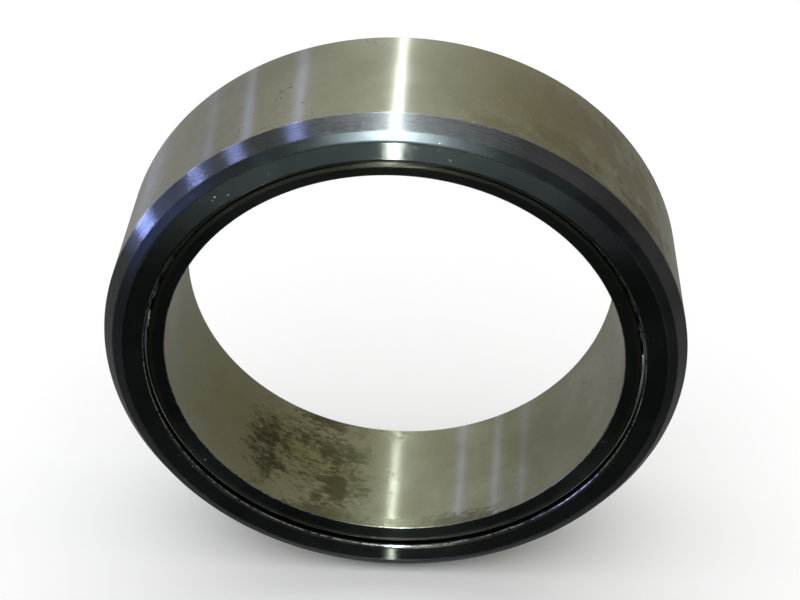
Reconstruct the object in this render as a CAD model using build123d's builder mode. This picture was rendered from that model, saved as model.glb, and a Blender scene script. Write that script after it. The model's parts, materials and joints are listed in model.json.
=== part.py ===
"""Shielded double-row spherical roller bearing, large and thin in section.

The bearing's axis is Y, its centre is the origin and Z is up. The front side faces -Y.
Every ring is drawn as a half section in the XY plane, where X is the radius and Y runs
along the axis, and is revolved about Y.
"""

import os
from math import acos, cos, degrees, radians, sin, sqrt

from build123d import *

# ---- Driving dimensions, millimetres and degrees --------------------------------------

# Boundary dimensions
OUTSIDE_RADIUS = 165.0
BORE_RADIUS = 130.0
HALF_WIDTH = 49.0
SEATING_HALF_WIDTH = 38.75  # the straight ground stretch of the outside diameter

# Outer ring
BEVEL_CORNER_RADIUS = 159.0  # where the long bevel turns into the shallow one
BEVEL_HALF_WIDTH = 46.8
FACE_EDGE_RADIUS = 154.2  # where the shallow bevel meets the side face
RACEWAY_SPHERE = 157.0
RACEWAY_HALF_WIDTH = 38.0
SEAL_SEAT_RADIUS = 153.2
SEAL_SEAT_DEPTH = 7.1

# Rollers, two rows on one contact angle
ROLLERS_PER_ROW = 42
CONTACT_ANGLE = 7.2
ROLLER_RADIUS = 8.7
ROLLER_LENGTH = 29.0
ROLLER_CROWN = 154.0  # radius of the barrel profile
ROLLER_EDGE = 0.9
END_RECESS_RADIUS = 3.0  # shallow turned recess in the middle of each roller end
END_RECESS_DEPTH = 0.5
ROLLING_GAP = 0.2  # between a roller and each raceway

# Inner ring
SHOULDER_RADIUS = 139.4
INNER_HALF_WIDTH = 46.0
INNER_BORE_HALF_WIDTH = 43.8  # the straight ground stretch of the bore
INNER_BEVEL_RADIUS = 136.6  # outer edge of the bevel that leads into the bore
SHOULDER_CHAMFER = 0.6
LAND_RADIUS = 140.3  # plain land between the two raceways
RIB_GAP = 0.6  # from a roller's outer end to the rib beside it

# Guide ring between the rows
GUIDE_BORE_GAP = 0.35
GUIDE_RADIUS = 146.7
GUIDE_SIDE_GAP = 0.35

# Cages
CAGE_THICKNESS = 3.2
CAGE_INNER_REACH = 18.1  # from the roller's centre to the inner rim's edge
CAGE_OUTER_REACH = 18.7
CAGE_FLANGE_RADIUS = 141.2
CAGE_FLANGE_THICKNESS = 2.4
POCKET_SIDE_GAP = 0.35
POCKET_END_GAP = 0.4

# Side shields and their sealing rings
SHIELD_THICKNESS = 5.0
SHIELD_BORE_RADIUS = 140.8
SHIELD_EDGE_ROUND = 2.1
LIP_BORE_RADIUS = 140.4
LIP_ROOT_RADIUS = 146.0
LIP_THICKNESS = 0.9

# Rollers that are nodes of their own, so that each can spin: every second one in each row
SPINNING_EVERY = 2

SIDES = {"front": -1, "back": 1}

# ---- Values that follow ---------------------------------------------------------------

ALPHA = radians(CONTACT_ANGLE)
PITCH_DISTANCE = RACEWAY_SPHERE - ROLLING_GAP - ROLLER_RADIUS
INNER_CONTACT = PITCH_DISTANCE - ROLLER_RADIUS - ROLLING_GAP
INNER_PROFILE = RACEWAY_SPHERE  # both raceways hold the roller on the same curvature
ROLLER_STEP = 360 / ROLLERS_PER_ROW
# The back row is turned by half a step, so that the rows are staggered.
ROW_START = {"front": 0.0, "back": ROLLER_STEP / 2}


def row_point(height, along, side=1):
    """A point of a row's section, given in the row's own directions: height is measured from
    the bearing's centre along the contact line, and along is measured along the roller's axis,
    away from the bearing's middle."""
    radius = height * cos(ALPHA) - along * sin(ALPHA)
    axial = height * sin(ALPHA) + along * cos(ALPHA)
    return (radius, side * axial)


def row_point_at_radius(radius, along, side=1):
    """The point at this radius on the line that stands across the roller's axis at along."""
    height = (radius + along * sin(ALPHA)) / cos(ALPHA)
    return row_point(height, along, side)


def crown_drop(curve_radius, along):
    """How far a curved profile has left its tangent at this distance from its middle."""
    return curve_radius - sqrt(curve_radius**2 - along**2)


def write(part, name):
    """Labels a finished piece and writes it as one STEP file."""
    part.label = name
    export_step(part, f"parts/{name}.step")


# ---- Rings ----------------------------------------------------------------------------


def outer_ring():
    """Spherical raceway inside, ground seating surface outside, and at each side a long bevel,
    a shallow bevel, a narrow side face and a seal seat."""
    land = (sqrt(RACEWAY_SPHERE**2 - RACEWAY_HALF_WIDTH**2), RACEWAY_HALF_WIDTH)
    seat_floor = HALF_WIDTH - SEAL_SEAT_DEPTH
    mid_raceway = degrees(acos(land[0] / RACEWAY_SPHERE)) / 2
    with BuildPart() as ring:
        with BuildSketch(Plane.XY):
            with BuildLine():
                ThreePointArc(
                    (RACEWAY_SPHERE, 0),
                    Vector(RACEWAY_SPHERE, 0).rotate(Axis.Z, mid_raceway),
                    land,
                )
                Polyline(
                    land,
                    (land[0], seat_floor),
                    (SEAL_SEAT_RADIUS, seat_floor),
                    (SEAL_SEAT_RADIUS, HALF_WIDTH),
                    (FACE_EDGE_RADIUS, HALF_WIDTH),
                    (BEVEL_CORNER_RADIUS, BEVEL_HALF_WIDTH),
                    (OUTSIDE_RADIUS, SEATING_HALF_WIDTH),
                    (OUTSIDE_RADIUS, 0),
                )
                mirror(about=Plane.XZ)
            make_face()
        revolve(axis=Axis.Y)
    return ring.part


def inner_ring():
    """Straight ground bore, two raceways with a land between them, and a rib at each side
    that ends in the shoulder the sealing lip runs on."""
    rib_place = ROLLER_LENGTH / 2 + RIB_GAP
    arc_centre = row_point(INNER_CONTACT + INNER_PROFILE, 0)
    land_half_width = arc_centre[1] - sqrt(
        INNER_PROFILE**2 - (arc_centre[0] - LAND_RADIUS) ** 2
    )
    land = (LAND_RADIUS, land_half_width)
    rib_foot = row_point(INNER_CONTACT + crown_drop(INNER_PROFILE, rib_place), rib_place)
    with BuildPart() as ring:
        with BuildSketch(Plane.XY):
            with BuildLine():
                Line((LAND_RADIUS, 0), land)
                ThreePointArc(land, row_point(INNER_CONTACT, 0), rib_foot)
                Polyline(
                    rib_foot,
                    row_point_at_radius(SHOULDER_RADIUS, rib_place),
                    (SHOULDER_RADIUS, INNER_HALF_WIDTH - SHOULDER_CHAMFER),
                    (SHOULDER_RADIUS - SHOULDER_CHAMFER, INNER_HALF_WIDTH),
                    (INNER_BEVEL_RADIUS, INNER_HALF_WIDTH),
                    (BORE_RADIUS, INNER_BORE_HALF_WIDTH),
                    (BORE_RADIUS, 0),
                )
                mirror(about=Plane.XZ)
            make_face()
        revolve(axis=Axis.Y)
    return ring.part


def guide_ring():
    """Loose ring on the inner ring's land, its sides parallel to the rollers' inner ends."""
    side_place = -(ROLLER_LENGTH / 2 + GUIDE_SIDE_GAP)
    bore_radius = LAND_RADIUS + GUIDE_BORE_GAP
    with BuildPart() as ring:
        with BuildSketch(Plane.XY):
            with BuildLine():
                Polyline(
                    (bore_radius, 0),
                    row_point_at_radius(bore_radius, side_place),
                    row_point_at_radius(GUIDE_RADIUS, side_place),
                    (GUIDE_RADIUS, 0),
                )
                mirror(about=Plane.XZ)
            make_face()
        revolve(axis=Axis.Y)
    return ring.part


# ---- Rollers and cages ----------------------------------------------------------------


def section_plane(side, turn):
    """The plane through the bearing's axis at this turn about Y, placed on a row's roller:
    its X is the contact line and its Y is the roller's axis."""
    radius, axial = row_point(PITCH_DISTANCE, 0, side)
    section = Plane(
        origin=(radius, axial, 0),
        x_dir=(cos(ALPHA), side * sin(ALPHA), 0),
        z_dir=(0, 0, 1),
    )
    turned = Location((0, 0, 0), (0, turn, 0))
    return Plane(turned * section.location)


def roller(side, turn):
    """One barrel roller with broken end edges and a shallow recess in each end."""
    half = ROLLER_LENGTH / 2
    recess_floor = half - END_RECESS_DEPTH
    edge = half - ROLLER_EDGE
    end_radius = ROLLER_RADIUS - crown_drop(ROLLER_CROWN, edge)
    plane = section_plane(side, turn)
    with BuildPart() as barrel:
        with BuildSketch(plane):
            with BuildLine():
                Polyline(
                    (end_radius, -edge),
                    (end_radius - ROLLER_EDGE, -half),
                    (END_RECESS_RADIUS, -half),
                    (END_RECESS_RADIUS, -recess_floor),
                    (0, -recess_floor),
                    (0, recess_floor),
                    (END_RECESS_RADIUS, recess_floor),
                    (END_RECESS_RADIUS, half),
                    (end_radius - ROLLER_EDGE, half),
                    (end_radius, edge),
                )
                ThreePointArc((end_radius, edge), (ROLLER_RADIUS, 0), (end_radius, -edge))
            make_face()
        revolve(axis=Axis(plane.origin, plane.y_dir))
    return barrel.part


def cage(side, start):
    """Pressed window cage: a conical band with a barrel-shaped window for each roller, and an
    outer rim turned in towards the inner ring."""
    low = PITCH_DISTANCE - CAGE_THICKNESS / 2
    high = PITCH_DISTANCE + CAGE_THICKNESS / 2
    flange_place = CAGE_OUTER_REACH - CAGE_FLANGE_THICKNESS
    half_width = ROLLER_RADIUS + POCKET_SIDE_GAP
    pocket_end = ROLLER_LENGTH / 2 + POCKET_END_GAP
    end_width = half_width - crown_drop(ROLLER_CROWN, pocket_end)
    section = section_plane(side, 0)
    pocket_plane = Plane(origin=section.origin, x_dir=(0, 0, 1), z_dir=section.x_dir)
    pockets = [
        Location((0, 0, 0), (0, start + index * ROLLER_STEP, 0))
        for index in range(ROLLERS_PER_ROW)
    ]

    with BuildPart() as pocket:
        with BuildSketch(pocket_plane):
            with BuildLine():
                ThreePointArc((end_width, -pocket_end), (half_width, 0), (end_width, pocket_end))
                Line((end_width, pocket_end), (-end_width, pocket_end))
                ThreePointArc((-end_width, pocket_end), (-half_width, 0), (-end_width, -pocket_end))
                Line((-end_width, -pocket_end), (end_width, -pocket_end))
            make_face()
        extrude(amount=CAGE_THICKNESS, both=True)

    with BuildPart() as band:
        with BuildSketch(Plane.XY):
            with BuildLine():
                Polyline(
                    row_point(low, -CAGE_INNER_REACH, side),
                    row_point(high, -CAGE_INNER_REACH, side),
                    row_point(high, CAGE_OUTER_REACH, side),
                    row_point_at_radius(CAGE_FLANGE_RADIUS, CAGE_OUTER_REACH, side),
                    row_point_at_radius(CAGE_FLANGE_RADIUS, flange_place, side),
                    row_point(low, flange_place, side),
                    close=True,
                )
            make_face()
        revolve(axis=Axis.Y)
        with Locations(*pockets):
            add(pocket.part, mode=Mode.SUBTRACT)
    return band.part


# ---- Shields and seals ----------------------------------------------------------------


def shield(side):
    """Steel side plate pressed into the outer ring, its bore edge rounded on the outside."""
    back_face = side * (HALF_WIDTH - SHIELD_THICKNESS)
    front_face = side * HALF_WIDTH
    round_start = side * (HALF_WIDTH - SHIELD_EDGE_ROUND)
    with BuildPart() as plate:
        with BuildSketch(Plane.XY):
            with BuildLine():
                Polyline(
                    (SHIELD_BORE_RADIUS, round_start),
                    (SHIELD_BORE_RADIUS, back_face),
                    (SEAL_SEAT_RADIUS, back_face),
                    (SEAL_SEAT_RADIUS, front_face),
                    (SHIELD_BORE_RADIUS + SHIELD_EDGE_ROUND, front_face),
                )
                TangentArc(
                    (SHIELD_BORE_RADIUS, round_start),
                    (SHIELD_BORE_RADIUS + SHIELD_EDGE_ROUND, front_face),
                    tangent=(0, side),
                )
            make_face()
        revolve(axis=Axis.Y)
    return plate.part


def sealing_ring(side):
    """Rubber ring held between the seat's floor and the shield, thinned to a lip that stands
    just off the inner ring's shoulder."""
    floor = side * (HALF_WIDTH - SEAL_SEAT_DEPTH)
    under_shield = side * (HALF_WIDTH - SHIELD_THICKNESS)
    lip_inside = under_shield - side * LIP_THICKNESS
    with BuildPart() as ring:
        with BuildSketch(Plane.XY):
            with BuildLine():
                Polyline(
                    (SEAL_SEAT_RADIUS, floor),
                    (SEAL_SEAT_RADIUS, under_shield),
                    (LIP_BORE_RADIUS, under_shield),
                    (LIP_BORE_RADIUS, lip_inside),
                    (LIP_ROOT_RADIUS, floor),
                    close=True,
                )
            make_face()
        revolve(axis=Axis.Y)
    return ring.part


# ---- Assembly -------------------------------------------------------------------------

os.makedirs("parts", exist_ok=True)

write(outer_ring(), "outer_ring")
write(inner_ring(), "inner_ring")
write(guide_ring(), "guide_ring")

for side_name, side_sign in SIDES.items():
    write(shield(side_sign), f"{side_name}_shield")
    write(sealing_ring(side_sign), f"{side_name}_sealing_ring")
    write(cage(side_sign, ROW_START[side_name]), f"{side_name}_cage")

    others = []
    for number in range(ROLLERS_PER_ROW):
        barrel = roller(side_sign, ROW_START[side_name] + number * ROLLER_STEP)
        if number % SPINNING_EVERY:
            others.append(barrel)
        else:
            write(barrel, f"{side_name}_roller_{number // SPINNING_EVERY + 1:02d}")
    write(Compound(children=others), f"{side_name}_rollers")
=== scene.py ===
"""Looks of the shielded spherical roller bearing, standing upright on a pale floor.

The bearing's axis is Y. Every ring that shows is turned here from its own section, with the
small edge rounds that catch the light, in the place of the CAD node it stands for.
"""

import json
import math
from collections import namedtuple

import bpy
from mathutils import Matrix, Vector


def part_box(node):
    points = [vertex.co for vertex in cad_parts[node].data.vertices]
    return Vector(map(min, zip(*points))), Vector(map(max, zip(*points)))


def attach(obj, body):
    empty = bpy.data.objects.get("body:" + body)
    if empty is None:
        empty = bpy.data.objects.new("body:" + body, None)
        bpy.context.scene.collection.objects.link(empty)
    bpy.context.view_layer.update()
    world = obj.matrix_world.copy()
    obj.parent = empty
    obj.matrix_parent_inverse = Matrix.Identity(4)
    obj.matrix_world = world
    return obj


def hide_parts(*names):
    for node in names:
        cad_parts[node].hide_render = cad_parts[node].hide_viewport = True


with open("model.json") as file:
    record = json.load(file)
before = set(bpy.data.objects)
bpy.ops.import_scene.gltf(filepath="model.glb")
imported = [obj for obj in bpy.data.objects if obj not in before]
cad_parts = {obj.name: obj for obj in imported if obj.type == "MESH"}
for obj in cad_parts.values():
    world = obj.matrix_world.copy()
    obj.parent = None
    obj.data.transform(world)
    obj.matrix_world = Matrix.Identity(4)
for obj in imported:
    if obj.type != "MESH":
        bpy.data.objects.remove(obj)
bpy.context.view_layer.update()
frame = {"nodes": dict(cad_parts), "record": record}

# ---- Sizes, in metres -------------------------------------------------------------------

MM = 0.001
dims = {mount["name"]: mount["dims"] for mount in frame["record"]["mounts"]}

SEATING_RADIUS = dims["housing_seat"]["r_mm"] * MM
SEATING_HALF = dims["housing_seat"]["length_mm"] * MM / 2
BORE_RADIUS = dims["shaft_bore"]["r_mm"] * MM
BORE_HALF = dims["shaft_bore"]["length_mm"] * MM / 2
HALF_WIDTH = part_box("outer_ring")[1].y
INNER_HALF_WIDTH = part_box("inner_ring")[1].y
SHIELD_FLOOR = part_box("back_shield")[0].y
SEAL_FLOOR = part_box("back_sealing_ring")[0].y
SHIELD_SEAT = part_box("back_shield")[1].x

# Outer ring
BEVEL_CORNER = 159.0 * MM
BEVEL_HALF = 46.8 * MM
BEVEL_BLEND = 2.0 * MM
FACE_EDGE = 154.2 * MM
FACE_BLEND = 3.0 * MM
RACEWAY_SPHERE = 157.0 * MM
RACEWAY_HALF = 38.0 * MM

# Inner ring, its raceway turned round the line the rollers bear on
CONTACT_ANGLE = math.radians(7.2)
INNER_CONTACT = 139.2 * MM
RIB_PLACE = 15.1 * MM
SHOULDER = 139.4 * MM
SHOULDER_CHAMFER = 0.6 * MM
LAND = 140.3 * MM
INNER_BEVEL = 136.6 * MM

# Shields and sealing rings
SHIELD_BORE = 140.8 * MM
SHIELD_ROUND = 2.1 * MM
LIP_BORE = 140.4 * MM
LIP_ROOT = 146.0 * MM
LIP_THICKNESS = 0.9 * MM
LIP_ROUND = 0.3 * MM
LIP_ROOT_ROUND = 0.5 * MM

# Small edge rounds
CRISP = 0.12 * MM
BROKEN = 0.35 * MM

TURN_STEPS = 720
ARC_STEPS = 7
HOLD = 0.15  # how far outside an arc its flats' first points lie, in the arc's reach


# ---- Turned meshes ----------------------------------------------------------------------


def rounded(corners):
    """The closed outline of these (radius, axial, round) corners, with each corner's round
    drawn as an arc, and a point just before and after it that keeps the flats flat."""
    points = []
    count = len(corners)
    for index, (radius, axial, rounding) in enumerate(corners):
        corner = Vector((radius, axial))
        if rounding == 0:
            points.append(corner)
            continue
        back = Vector(corners[index - 1][:2]) - corner
        ahead = Vector(corners[(index + 1) % count][:2]) - corner
        half_angle = back.angle(ahead) / 2
        reach = rounding / math.tan(half_angle)
        start = corner + back.normalized() * reach
        end = corner + ahead.normalized() * reach
        centre_way = (back.normalized() + ahead.normalized()).normalized()
        centre = corner + centre_way * rounding / math.sin(half_angle)
        points.append(start + back.normalized() * reach * HOLD)
        spoke, last = start - centre, end - centre
        turn = last.angle_signed(spoke)
        for step in range(ARC_STEPS + 1):
            angle = turn * step / ARC_STEPS
            cosine, sine = math.cos(angle), math.sin(angle)
            points.append(
                centre
                + Vector((spoke.x * cosine - spoke.y * sine, spoke.x * sine + spoke.y * cosine))
            )
        points.append(end + ahead.normalized() * reach * HOLD)
    return points


def turned(name, outline, materials, zone=None):
    """A smooth ring: the outline turned about Y. zone(radius, axial) gives the place in
    materials of the band between two outline points."""
    verts, faces, slots = [], [], []
    count = len(outline)
    for step in range(TURN_STEPS):
        angle = math.tau * step / TURN_STEPS
        for point in outline:
            verts.append((point.x * math.cos(angle), point.y, -point.x * math.sin(angle)))
    for step in range(TURN_STEPS):
        here, there = step * count, (step + 1) % TURN_STEPS * count
        for index in range(count):
            after = (index + 1) % count
            faces.append((here + index, there + index, there + after, here + after))
            middle = (outline[index] + outline[after]) / 2
            slots.append(zone(middle.x, middle.y) if zone else 0)
    mesh = bpy.data.meshes.new(name)
    mesh.from_pydata(verts, [], faces)
    for material in materials:
        mesh.materials.append(material)
    mesh.polygons.foreach_set("material_index", slots)
    mesh.shade_smooth()
    mesh.update()
    piece = bpy.data.objects.new(name, mesh)
    bpy.context.scene.collection.objects.link(piece)
    return piece


def both_sides(half):
    """A whole outline from the corners of its +Y half."""
    mirrored = [(radius, -axial, rounding) for radius, axial, rounding in reversed(half)]
    return rounded(half + mirrored)


def outer_ring_outline():
    land = math.sqrt(RACEWAY_SPHERE**2 - RACEWAY_HALF**2)
    raceway = []
    for step in range(ARC_STEPS + 1):
        axial = RACEWAY_HALF * step / ARC_STEPS
        raceway.append((math.sqrt(RACEWAY_SPHERE**2 - axial**2), axial, 0))
    return both_sides(
        raceway[1:]
        + [
            (land, SEAL_FLOOR, BROKEN),
            (SHIELD_SEAT, SEAL_FLOOR, CRISP),
            (SHIELD_SEAT, HALF_WIDTH, CRISP),
            (FACE_EDGE, HALF_WIDTH, FACE_BLEND),
            (BEVEL_CORNER, BEVEL_HALF, BEVEL_BLEND),
            (SEATING_RADIUS, SEATING_HALF, BROKEN),
        ]
    )


def row_point(height, along):
    """A point of the back row's section: height out along the line of contact, and along the
    roller's axis."""
    sine, cosine = math.sin(CONTACT_ANGLE), math.cos(CONTACT_ANGLE)
    return (height * cosine - along * sine, height * sine + along * cosine)


def inner_ring_outline():
    centre = Vector(row_point(INNER_CONTACT + RACEWAY_SPHERE, 0))
    land_half = centre.y - math.sqrt(RACEWAY_SPHERE**2 - (centre.x - LAND) ** 2)
    sine, cosine = math.sin(CONTACT_ANGLE), math.cos(CONTACT_ANGLE)
    first = land_half * cosine - LAND * sine
    raceway = []
    for step in range(1, ARC_STEPS + 1):
        along = first + (RIB_PLACE - first) * step / ARC_STEPS
        drop = RACEWAY_SPHERE - math.sqrt(RACEWAY_SPHERE**2 - along**2)
        raceway.append((*row_point(INNER_CONTACT + drop, along), 0))
    rib_height = (SHOULDER + RIB_PLACE * sine) / cosine
    return both_sides(
        [(LAND, land_half, BROKEN)]
        + raceway
        + [
            (*row_point(rib_height, RIB_PLACE), BROKEN),
            (SHOULDER, INNER_HALF_WIDTH - SHOULDER_CHAMFER, CRISP),
            (SHOULDER - SHOULDER_CHAMFER, INNER_HALF_WIDTH, CRISP),
            (INNER_BEVEL, INNER_HALF_WIDTH, BROKEN),
            (BORE_RADIUS, BORE_HALF, BROKEN),
        ]
    )


def shield_outline(side):
    return rounded(
        [
            (SHIELD_BORE, side * SHIELD_FLOOR, BROKEN),
            (SHIELD_SEAT, side * SHIELD_FLOOR, CRISP),
            (SHIELD_SEAT, side * HALF_WIDTH, CRISP),
            (SHIELD_BORE, side * HALF_WIDTH, SHIELD_ROUND),
        ]
    )


def sealing_ring_outline(side):
    return rounded(
        [
            (SHIELD_SEAT, side * SEAL_FLOOR, 0),
            (SHIELD_SEAT, side * SHIELD_FLOOR, 0),
            (LIP_BORE, side * SHIELD_FLOOR, LIP_ROUND),
            (LIP_BORE, side * (SHIELD_FLOOR - LIP_THICKNESS), LIP_ROUND),
            (LIP_ROOT, side * SEAL_FLOOR, LIP_ROOT_ROUND),
        ]
    )


# ---- Materials --------------------------------------------------------------------------

BARE = (0.50, 0.49, 0.44, 1)
STAIN = (0.065, 0.06, 0.026, 1)
RUST = (0.26, 0.2, 0.115, 1)
SHADE_TINT = (0.74, 0.7, 0.42, 1)  # painted shade: how much of each colour is kept on the darker, yellower side of a ring

# A patch of a ring round this angle from the bottom, towards +X, and this axial place, fading
# out at span and half_length from there
Patch = namedtuple("Patch", "angle axial span half_length")
# strength is 0 to 1, and along and across are the flecks' scales round the ring and along Y
Stain = namedtuple("Stain", "patch colour strength along across")
WornEdge = namedtuple("WornEdge", "radius axial reach")


class Shader:
    """A new material with a Principled shader, and short ways to add the nodes behind it."""

    def __init__(self, name, **constants):
        self.material = bpy.data.materials.new(name)
        self.material.use_nodes = True
        self.tree = self.material.node_tree
        self.surface = self.tree.nodes["Principled BSDF"]
        for socket, value in constants.items():
            self.surface.inputs[socket.replace("_", " ")].default_value = value

    def node(self, kind, inputs=None, **settings):
        made = self.tree.nodes.new("ShaderNode" + kind)
        for key, value in settings.items():
            setattr(made, key, value)
        for socket, value in (inputs or {}).items():
            self.feed(made.inputs[socket], value)
        return made

    def feed(self, socket, value):
        if isinstance(value, bpy.types.NodeSocket):
            self.tree.links.new(value, socket)
        else:
            socket.default_value = value

    def maths(self, operation, first, second=0.0):
        return self.node("Math", {0: first, 1: second}, operation=operation).outputs[0]

    def ramp(self, value, low, high, to_low=0.0, to_high=1.0):
        """value between low and high, eased to run from to_low to to_high."""
        made = self.node(
            "MapRange",
            {"Value": value, "From Min": low, "From Max": high, "To Min": to_low, "To Max": to_high},
            interpolation_type="SMOOTHSTEP",
        )
        return made.outputs[0]

    def mix(self, share, first, second):
        made = self.node("Mix", data_type="RGBA")
        self.feed(made.inputs["Factor"], share)
        self.feed(made.inputs["A"], first)
        self.feed(made.inputs["B"], second)
        return made.outputs["Result"]

    def noise(self, where, scale, detail=3.0, rough=0.55, across=None):
        made = self.node(
            "TexNoise",
            {"Vector": where, "Scale": scale, "Detail": detail, "Roughness": rough},
        )
        if across is not None:
            made.noise_dimensions = "4D"
            self.feed(made.inputs["W"], across)
        return made.outputs["Fac"]

    def finish(self, colour, roughness, height=None, depth=0.0):
        self.feed(self.surface.inputs["Base Color"], colour)
        self.feed(self.surface.inputs["Roughness"], roughness)
        if height is not None:
            bump = self.node("Bump", {"Height": height, "Distance": depth, "Strength": 1.0})
            self.feed(self.surface.inputs["Normal"], bump.outputs[0])
        return self.material


class RingShader(Shader):
    """A shader on a turned ring, which knows its radius and axial place, and whose grain runs
    round the ring."""

    def __init__(self, name, **constants):
        super().__init__(name, **constants)
        self.place = self.node("TexCoord").outputs["Object"]
        split = self.node("SeparateXYZ", {0: self.place})
        x, y, z = split.outputs
        self.axial = self.maths("ABSOLUTE", y)
        self.side_y = y
        flat = self.node("CombineXYZ", {0: x, 2: z}).outputs[0]
        length = self.node("VectorMath", {0: flat}, operation="LENGTH")
        self.radius = length.outputs["Value"]
        self.flat = flat
        tangent = self.node("Tangent", direction_type="RADIAL", axis="Y")
        self.surface.inputs["Anisotropic Rotation"].default_value = 0.25
        self.feed(self.surface.inputs["Tangent"], tangent.outputs[0])

    def stretched(self, along, across):
        """Texture coordinates with these scales round the ring and along its axis."""
        scale = (along, across, along)
        return self.node("VectorMath", {0: self.place, 1: scale}, operation="MULTIPLY").outputs[0]

    def grain(self, per_metre, along, detail):
        """Lines round the ring, this many to the metre across and slowly changing along."""
        across = self.maths("MULTIPLY", self.radius, per_metre)
        return self.noise(self.stretched(along, per_metre), 1.0, detail, 0.6, across)

    def near_edge(self, edge):
        """1 on this worn edge, falling to 0 at its reach."""
        away_r = self.maths("SUBTRACT", self.radius, edge.radius)
        away_y = self.maths("SUBTRACT", self.axial, edge.axial)
        square_r = self.maths("MULTIPLY", away_r, away_r)
        square_y = self.maths("MULTIPLY", away_y, away_y)
        away = self.maths("SQRT", self.maths("ADD", square_r, square_y))
        return self.ramp(away, edge.reach, 0.0)

    def inside(self, patch):
        """1 at the middle of this patch, falling to 0 at its sides."""
        toward = (math.sin(patch.angle), 0, -math.cos(patch.angle))
        dot = self.node("VectorMath", {0: self.flat, 1: toward}, operation="DOT_PRODUCT")
        facing = self.maths("DIVIDE", dot.outputs["Value"], self.radius)
        round_share = self.ramp(facing, math.cos(patch.span), 1.0)
        away_y = self.maths("ABSOLUTE", self.maths("SUBTRACT", self.side_y, patch.axial))
        return self.maths("MULTIPLY", round_share, self.ramp(away_y, patch.half_length, 0.0))


def stained(s, tone, rough, stain):
    """This tone and roughness with the stain's flecks on them, thickest inside its patch."""
    flecks = s.noise(s.stretched(stain.along, stain.across), 1.0, 8, 0.8)
    drift = s.ramp(s.noise(s.place, 38, 3, 0.6), 0.35, 0.6, 0.4, 1.0)
    near = s.maths("MULTIPLY", s.inside(stain.patch), drift)
    share = s.ramp(s.maths("ADD", flecks, s.maths("MULTIPLY", near, 0.42)), 0.6, 0.84)
    tone = s.mix(s.maths("MULTIPLY", share, stain.strength), tone, stain.colour)
    rough = s.maths("ADD", rough, s.maths("MULTIPLY", share, 0.2 * stain.strength))
    return tone, rough


def ground_steel(name, bright, dull, shaded_side, stains=()):
    """Ground bearing steel: fine lines round the ring, cloudy handling marks, a few curled
    hairline scratches, painted shade that darkens and yellows one side of the ring, and stains."""
    s = RingShader(name, Metallic=1.0, Anisotropic=0.97)
    fine = s.grain(5200, 14, 1)
    broad = s.grain(850, 5, 3)
    cloud = s.noise(s.place, 26, 4, 0.6)
    tone = s.mix(s.ramp(cloud, 0.32, 0.7), dull, bright)
    tone = s.mix(s.ramp(fine, 0.3, 0.7, 0.0, 0.2), tone, dull)
    # painted shade: inside this patch the dull tone is darkened and yellowed, standing in for shade
    # on that side of the ring
    painted_shade = s.maths("MULTIPLY", s.inside(shaded_side), s.ramp(s.noise(s.place, 14, 4), 0.3, 0.6, 0.5))
    tone = s.mix(painted_shade, tone, tuple(c * f for c, f in zip(dull, SHADE_TINT)))
    curl = s.maths("ABSOLUTE", s.maths("SUBTRACT", s.noise(s.place, 55, 2), 0.5))
    hair = s.maths("MULTIPLY", s.ramp(curl, 0.007, 0.001), s.ramp(cloud, 0.52, 0.62))
    tone = s.mix(s.maths("MULTIPLY", hair, 0.6), tone, STAIN)
    rough = s.maths("ADD", s.ramp(broad, 0.3, 0.7, 0.2, 0.22), s.ramp(fine, 0.3, 0.7, 0, 0.02))
    for stain in stains:
        tone, rough = stained(s, tone, rough, stain)
    return s.finish(tone, rough, fine, 0.0008 * MM)


def blackened_steel(name, base, rough, directional, worn_edges=()):
    """Blackened, finely turned steel, rubbed bright along its worn edges and chipped in a few
    places. directional is how strongly the turning shows."""
    s = RingShader(name, Metallic=1.0, Anisotropic=directional)
    fine = s.grain(4200, 10, 1)
    broad = s.grain(700, 6, 3)
    cloud = s.noise(s.place, 22, 4, 0.6)
    dark = tuple(channel * 0.6 for channel in base)
    light = tuple(channel * 1.5 for channel in base)
    tone = s.mix(s.ramp(cloud, 0.3, 0.7), (*dark, 1), (*base, 1))
    tone = s.mix(s.ramp(broad, 0.5, 0.8, 0, 0.15), tone, (*light, 1))
    lines = s.ramp(fine, 0.3, 0.7, rough, 1.12 * rough)
    spread = s.maths("ADD", lines, s.ramp(cloud, 0.3, 0.7, 0, 0.12 * rough))
    chips = s.noise(s.place, 420, 4, 0.7)
    for edge in worn_edges:
        share = s.maths("MULTIPLY", s.near_edge(edge), s.ramp(chips, 0.4, 0.57))
        tone = s.mix(share, tone, BARE)
    sparks = s.maths("MULTIPLY", s.ramp(chips, 0.67, 0.71), s.ramp(cloud, 0.54, 0.62))
    tone = s.mix(sparks, tone, BARE)
    return s.finish(tone, spread, fine, 0.0004 * MM)


def seal_rubber():
    s = RingShader("seal_rubber", Metallic=0.0)
    grain = s.noise(s.place, 900, 3)
    dust = s.ramp(s.noise(s.place, 40), 0.4, 0.7)
    tone = s.mix(dust, (0.012, 0.012, 0.013, 1), (0.03, 0.03, 0.03, 1))
    return s.finish(tone, s.ramp(grain, 0.3, 0.7, 0.55, 0.75), grain, 0.02 * MM)


def inner_steel(name, base, rough):
    """Clean steel of the parts that run inside: rollers, cages and guide ring."""
    s = Shader(name, Metallic=1.0)
    place = s.node("TexCoord").outputs["Object"]
    grain = s.noise(place, 700, 3)
    cloud = s.noise(place, 60, 3)
    light = tuple(min(1, c * 1.2) for c in base[:3]) + (1,)
    tone = s.mix(s.ramp(cloud, 0.3, 0.7), base, light)
    return s.finish(tone, s.ramp(grain, 0.3, 0.7, rough, rough + 0.12), grain, 0.003 * MM)


# ---- Pieces -----------------------------------------------------------------------------

UPPER_RIGHT = math.radians(138)
LOWER_LEFT = math.radians(-23)

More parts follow.
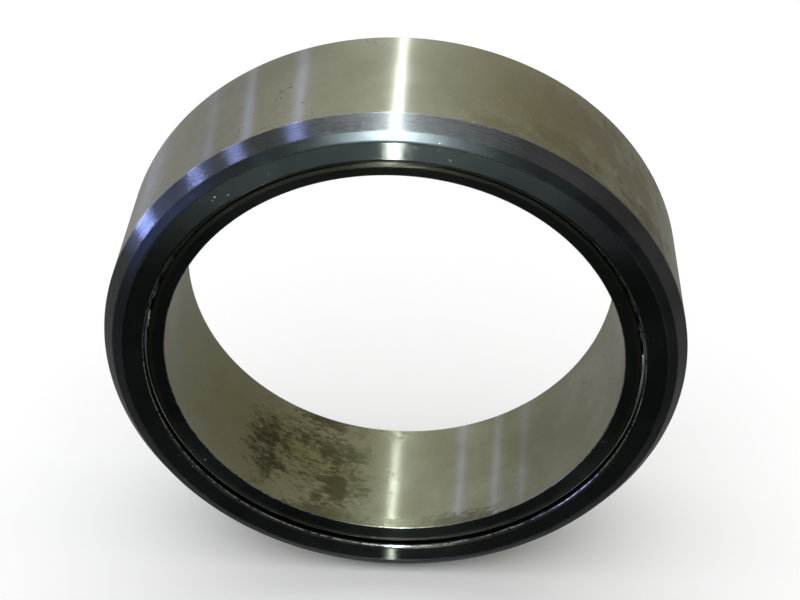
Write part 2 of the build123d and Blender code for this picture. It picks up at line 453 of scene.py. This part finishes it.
seating = ground_steel(
    "ground_outside",
    (0.39, 0.38, 0.275, 1),
    (0.32, 0.31, 0.215, 1),
    # painted shade: the outside darker and yellower on its upper right
    shaded_side=Patch(math.radians(135), 0.0, math.radians(40), 2 * SEATING_HALF),
    stains=[
        Stain(
            Patch(UPPER_RIGHT, 0.0, math.radians(32), 2 * SEATING_HALF), RUST, 0.45, 120, 24
        ),
        Stain(
            Patch(UPPER_RIGHT, -SEATING_HALF, math.radians(45), SEATING_HALF), STAIN, 0.3, 90, 200
        ),
    ],
)
bore = ground_steel(
    "ground_bore",
    (0.35, 0.345, 0.25, 1),
    (0.27, 0.265, 0.175, 1),
    # painted shade: the bore darker and yellower on its lower left
    shaded_side=Patch(math.radians(-53), 0.0, math.radians(60), 2 * BORE_HALF),
    stains=[
        Stain(
            Patch(LOWER_LEFT, -0.1 * BORE_HALF, math.radians(30), 1.4 * BORE_HALF),
            STAIN, 0.95, 170, 340,
        ),
        Stain(
            Patch(0.6 * LOWER_LEFT, BORE_HALF, math.radians(24), 0.5 * BORE_HALF),
            STAIN, 0.85, 170, 340,
        ),
        Stain(
            Patch(0.2 * LOWER_LEFT, -BORE_HALF, math.radians(50), 0.4 * BORE_HALF),
            STAIN, 0.7, 220, 420,
        ),
    ],
)
bevel_black = blackened_steel(
    "blackened_bevel",
    (0.098, 0.1, 0.098),
    0.24,
    1.0,
    [WornEdge(SEATING_RADIUS, SEATING_HALF, 0.4 * MM)],
)
facet_black = blackened_steel("blackened_facet", (0.036, 0.041, 0.041), 0.3, 0.6)
shield_black = blackened_steel(
    "blackened_shield",
    (0.0245, 0.0285, 0.0265),
    0.085,
    1.0,
    [WornEdge(SHIELD_BORE + 0.5 * MM, HALF_WIDTH - 0.5 * MM, 0.65 * MM)],
)
inner_side = blackened_steel("blackened_inner_side", (0.03, 0.03, 0.022), 0.2, 1.0)
inner_bevel = blackened_steel(
    "blackened_inner_bevel",
    (0.02, 0.024, 0.022),
    0.1,
    1.0,
    [WornEdge(BORE_RADIUS, BORE_HALF, 0.75 * MM)],
)
rubber = seal_rubber()
roller_steel = inner_steel("polished_roller", (0.62, 0.61, 0.58, 1), 0.18)
cage_steel = inner_steel("pressed_cage", (0.36, 0.35, 0.33, 1), 0.38)


def outer_zone(radius, axial):
    if radius > SEATING_RADIUS - CRISP or radius < SHIELD_SEAT - CRISP:
        return 0
    if abs(axial) < BEVEL_HALF:
        return 1
    return 2


def inner_zone(radius, axial):
    if abs(axial) < BORE_HALF:
        return 0
    return 1 if radius > INNER_BEVEL else 2


outer_ring = turned(
    "outer_ring_turned",
    outer_ring_outline(),
    [seating, bevel_black, facet_black],
    outer_zone,
)
inner_ring = turned(
    "inner_ring_turned", inner_ring_outline(), [bore, inner_side, inner_bevel], inner_zone
)
for piece, node, slot in (
    (outer_ring, "outer_ring", "ground_steel"),
    (inner_ring, "inner_ring", "ground_steel"),
):
    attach(piece, node)
    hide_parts(node)

for name, side in (("front", -1), ("back", 1)):
    shield = turned(f"{name}_shield_plate", shield_outline(side), [shield_black])
    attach(shield, "outer_ring")
    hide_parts(f"{name}_shield")
    lip = turned(f"{name}_sealing_lip", sealing_ring_outline(side), [rubber])
    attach(lip, "outer_ring")
    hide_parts(f"{name}_sealing_ring")

for name, node in frame["nodes"].items():
    if "roller" in name:
        material = roller_steel
    elif "cage" in name or name == "guide_ring":
        material = cage_steel
    else:
        continue
    for material_slot in node.material_slots:
        material_slot.material = material
    for polygon in node.data.polygons:
        polygon.use_smooth = True


# ---- Floor, light and camera ------------------------------------------------------------

RADIUS = SEATING_RADIUS  # places and sizes of the lamps are in these
FLOOR_REACH = 60 * RADIUS
WALL_STEPS = 96
# Brightness of the studio by height, -1 straight down, 0 level and 1 straight up, before the
# bearing and behind it
FRONT = [(-0.6, 0.2), (-0.2, 0.22), (0.0, 0.3), (0.2, 0.35), (0.6, 0.45), (0.9, 0.5)]
BACK = [(-0.6, 0.4), (-0.3, 0.45), (-0.1, 0.45), (0.1, 0.43), (0.35, 0.5), (0.6, 0.8), (0.85, 0.6)]
LEFT_STRENGTH, RIGHT_STRENGTH = 1.05, 0.9
DAYLIGHT = (0.34, 0.42, 1.0)
LAMPLIGHT = (0.85, 0.95, 1.0)
WARM_LAMPLIGHT = (1.0, 0.98, 0.88)
TUBELIGHT = (0.72, 0.82, 1.0)
# Where the lamps point, and how far round from the front those before the bearing stand
TOP = (0, -0.3, 0.9)
BOTTOM = (-0.03, -0.3, -0.9)
LEFT_BEVEL = (-0.4, -0.25, 0.8)
FRONT_TURN = -3
WINDOW_DISTANCE = 7


def floor():
    """A wide pale floor. Shiny steel doesn't mirror it: it mirrors the dim studio below level."""
    mesh = bpy.data.meshes.new("floor")
    far = FLOOR_REACH
    mesh.from_pydata(
        [(-far, -far, -RADIUS), (far, -far, -RADIUS), (far, far, -RADIUS), (-far, far, -RADIUS)],
        [],
        [(0, 1, 2, 3)],
    )
    s = Shader("pale_floor")
    s.feed(s.surface.inputs["Specular IOR Level"], 0.1)
    cloud = s.noise(s.node("TexCoord").outputs["Object"], 3, 3)
    mesh.materials.append(
        s.finish(s.mix(cloud, (0.88, 0.88, 0.88, 1), (0.92, 0.92, 0.915, 1)), 0.8)
    )
    piece = bpy.data.objects.new("floor", mesh)
    piece.visible_glossy = False
    bpy.context.scene.collection.objects.link(piece)
    return piece


def backdrop():
    """A pale wall all round at the floor's reach. It is only seen: steel mirrors the studio
    beyond it, and the studio's light comes through."""
    verts, faces = [], []
    for step in range(WALL_STEPS):
        angle = math.tau * step / WALL_STEPS
        x, y = FLOOR_REACH * math.cos(angle), FLOOR_REACH * math.sin(angle)
        verts += [(x, y, -RADIUS), (x, y, FLOOR_REACH)]
        here, there = 2 * step, 2 * ((step + 1) % WALL_STEPS)
        faces.append((here, there, there + 1, here + 1))
    mesh = bpy.data.meshes.new("backdrop")
    mesh.from_pydata(verts, [], faces)
    s = Shader("pale_backdrop")
    s.feed(s.surface.inputs["Emission Color"], (1, 1, 1, 1))
    s.feed(s.surface.inputs["Emission Strength"], 0.96)
    s.feed(s.surface.inputs["Specular IOR Level"], 0.0)
    mesh.materials.append(s.finish((0.01, 0.01, 0.01, 1), 1.0))
    piece = bpy.data.objects.new("backdrop", mesh)
    piece.visible_diffuse = False
    piece.visible_glossy = False
    piece.visible_shadow = False
    bpy.context.scene.collection.objects.link(piece)


def place_lamp(name, lamp, place, target):
    holder = bpy.data.objects.new(name, lamp)
    holder.location = place
    holder.rotation_mode = "QUATERNION"
    holder.rotation_quaternion = (Vector(target) - Vector(place)).to_track_quat("-Z", "Y")
    bpy.context.scene.collection.objects.link(holder)
    return holder


def panel(name, place, target, width, length, colour, radiance, lit):
    """A soft rectangular lamp, with places and sizes in outside radii. length runs along Y, or
    as near to it as facing target lets it, and upward for one beside or before the ring."""
    lamp = bpy.data.lights.new(name, "AREA")
    lamp.shape = "RECTANGLE"
    lamp.size, lamp.size_y = width * RADIUS, length * RADIUS
    lamp.color = colour
    lamp.energy = radiance * math.pi * lamp.size * lamp.size_y
    place, target = Vector(place) * RADIUS, Vector(target) * RADIUS
    holder = place_lamp(name, lamp, place, target)
    holder.visible_camera = False
    holder.light_linking.receiver_collection = lit
    holder.light_linking.blocker_collection = lit


def soft_panel(name, place, target, widths, length, colour, radiance, lit):
    """Panels of these widths on one another, so that the sides of the light fade in steps."""
    for number, width in enumerate(widths):
        share = radiance / len(widths)
        panel(f"{name}_{number + 1}", place, target, width, length, colour, share, lit)


def around(target, turn, rise, distance):
    """The place this far from target, turned from the front towards +X and raised from level."""
    turn, rise = math.radians(turn), math.radians(rise)
    way = Vector(
        (math.sin(turn) * math.cos(rise), -math.cos(turn) * math.cos(rise), math.sin(rise))
    )
    return Vector(target) + way * distance


def lamps_above(lit):
    """A tube right above, and a soft ceiling lamp a little before the bearing. The ground
    outside, the long bevel and the bore mirror them as bright streaks."""
    panel("tube", (-0.09, 0, 4), (-0.09, 0, 0), 0.09, 7, TUBELIGHT, 46, lit)
    soft_panel("ceiling", (0, -2.6, 5), TOP, (2.5, 4, 5.5, 7), 0.2, LAMPLIGHT, 35, lit)


def lamps_before_the_face(lit):
    """Low lamps before the bearing, which the side face mirrors: a strip for each of its
    streaks, and a glow round the upper one."""
    high = around(TOP, FRONT_TURN, -33, 16)
    low = around(BOTTOM, FRONT_TURN, -47, 8)
    panel("face_strip_high", high, TOP, 0.18, 1.2, WARM_LAMPLIGHT, 135, lit)
    panel("face_strip_low", low, BOTTOM, 0.035, 0.4, WARM_LAMPLIGHT, 115, lit)
    soft_panel("face_glow", high, TOP, (2, 3.5, 5, 6.5, 8), 2.4, LAMPLIGHT, 3.0, lit)


def lamps_before_the_facet(lit):
    """Lamps before the bearing, near its own height, which the shallow bevel and its edges
    mirror."""
    ahead = around(TOP, FRONT_TURN, 19, 8)
    soft_panel("facet_strip", ahead, TOP, (0.4, 0.7), 2.0, LAMPLIGHT, 440, lit)
    soft_panel("facet_glow", ahead, TOP, (2.2, 3.2, 4.2), 2.0, LAMPLIGHT, 4, lit)
    level = around(TOP, FRONT_TURN, -7, 5)
    soft_panel("edge_glow", level, TOP, (0.2, 1.2, 2.2), 1.6, LAMPLIGHT, 5, lit)


def daylight(lit):
    """Windows on the left and the sky round them, which the outside and the bevels mirror as
    blue bands, and skylights behind, which the bore mirrors."""

    def from_way(turn, rise):
        return around(LEFT_BEVEL, turn, rise, WINDOW_DISTANCE)

    for number, (turn, rise) in enumerate(((-68, 56), (-80.5, 36), (-86.5, 21))):
        place = from_way(turn, rise)
        panel(f"window_{number + 1}", place, LEFT_BEVEL, 0.5, 0.6, DAYLIGHT, 70, lit)
    soft_panel("sky", from_way(-90, 8), LEFT_BEVEL, (3, 5), 5, DAYLIGHT, 1.1, lit)
    soft_panel("low_sky", from_way(-48, -9), LEFT_BEVEL, (2.2, 3.6), 2.4, DAYLIGHT, 3.5, lit)
    soft_panel("window_4", from_way(-92, -2), LEFT_BEVEL, (0.5, 0.9, 1.3), 0.8, DAYLIGHT, 65, lit)
    for number, (turn, rise, radiance) in enumerate(((-152, 31, 14), (-144, 17, 9), (-140, 6, 4))):
        place = from_way(turn, rise)
        panel(f"skylight_{number + 1}", place, LEFT_BEVEL, 0.35, 0.25, DAYLIGHT, radiance, lit)


def floor_light(lit):
    """A wide soft sun straight above, for the floor alone."""
    overhead = bpy.data.lights.new("overhead", "SUN")
    overhead.energy = 2.0
    overhead.angle = math.radians(100)
    holder = place_lamp("overhead", overhead, (0, 0, 8 * RADIUS), (0, 0, 0))
    holder.light_linking.receiver_collection = lit


def lights(floor_piece):
    steel_only = bpy.data.collections.new("all_but_floor")
    steel_only.objects.link(floor_piece)
    steel_only.collection_objects[0].light_linking.link_state = "EXCLUDE"
    floor_only = bpy.data.collections.new("floor_only")
    floor_only.objects.link(floor_piece)
    lamps_above(steel_only)
    lamps_before_the_face(steel_only)
    lamps_before_the_facet(steel_only)
    daylight(steel_only)
    floor_light(floor_only)


def studio():
    """A dim room, lighter behind the bearing than before it, and lightest on the left, where
    the windows are."""
    world = bpy.data.worlds.new("studio")
    world.use_nodes = True
    nodes, links = world.node_tree.nodes, world.node_tree.links
    split = nodes.new("ShaderNodeSeparateXYZ")
    links.new(nodes.new("ShaderNodeTexCoord").outputs["Generated"], split.inputs[0])

    def between(axis, low, high):
        """low where the way along this axis is -1, and high where it is 1."""
        made = nodes.new("ShaderNodeMapRange")
        made.inputs["From Min"].default_value = -1
        made.inputs["To Min"].default_value = low
        made.inputs["To Max"].default_value = high
        links.new(split.outputs[axis], made.inputs["Value"])
        return made.outputs[0]

    def by_height(brightness_at):
        made = nodes.new("ShaderNodeValToRGB")
        made.color_ramp.interpolation = "EASE"
        stops = made.color_ramp.elements
        while len(stops) < len(brightness_at):
            stops.new(0.5)
        for stop, (height, brightness) in zip(stops, brightness_at):
            stop.position = (height + 1) / 2
            stop.color = (brightness, brightness, brightness, 1)
        links.new(between("Z", 0, 1), made.inputs["Fac"])
        return made.outputs["Color"]

    room = nodes.new("ShaderNodeMix")
    room.data_type = "RGBA"
    links.new(between("Y", 0, 1), room.inputs["Factor"])
    links.new(by_height(FRONT), room.inputs["A"])
    links.new(by_height(BACK), room.inputs["B"])
    links.new(room.outputs["Result"], nodes["Background"].inputs["Color"])
    strength = between("X", LEFT_STRENGTH, RIGHT_STRENGTH)
    links.new(strength, nodes["Background"].inputs["Strength"])
    bpy.context.scene.world = world


CAMERA_AZIMUTH = math.radians(2.77)
CAMERA_ELEVATION = math.radians(38.1)
CAMERA_DISTANCE = 5.575 * RADIUS
AIM_RIGHT = 0.0096 * RADIUS
AIM_UP = 0.0683 * RADIUS
LENS = 70.4
SENSOR_WIDTH = 36


def camera():
    data = bpy.data.cameras.new("camera")
    data.lens = LENS
    data.sensor_width = SENSOR_WIDTH
    data.clip_start, data.clip_end = 0.01, 100
    holder = bpy.data.objects.new("camera", data)
    back = Vector(
        (
            math.sin(CAMERA_AZIMUTH) * math.cos(CAMERA_ELEVATION),
            -math.cos(CAMERA_AZIMUTH) * math.cos(CAMERA_ELEVATION),
            math.sin(CAMERA_ELEVATION),
        )
    )
    turn = (-back).to_track_quat("-Z", "Y")
    aim = turn @ Vector((AIM_RIGHT, AIM_UP, 0))
    holder.location = aim + back * CAMERA_DISTANCE
    holder.rotation_mode = "QUATERNION"
    holder.rotation_quaternion = turn
    bpy.context.scene.collection.objects.link(holder)
    bpy.context.scene.camera = holder


lights(floor())
backdrop()
studio()
camera()
bpy.context.scene.view_settings.view_transform = "Standard"
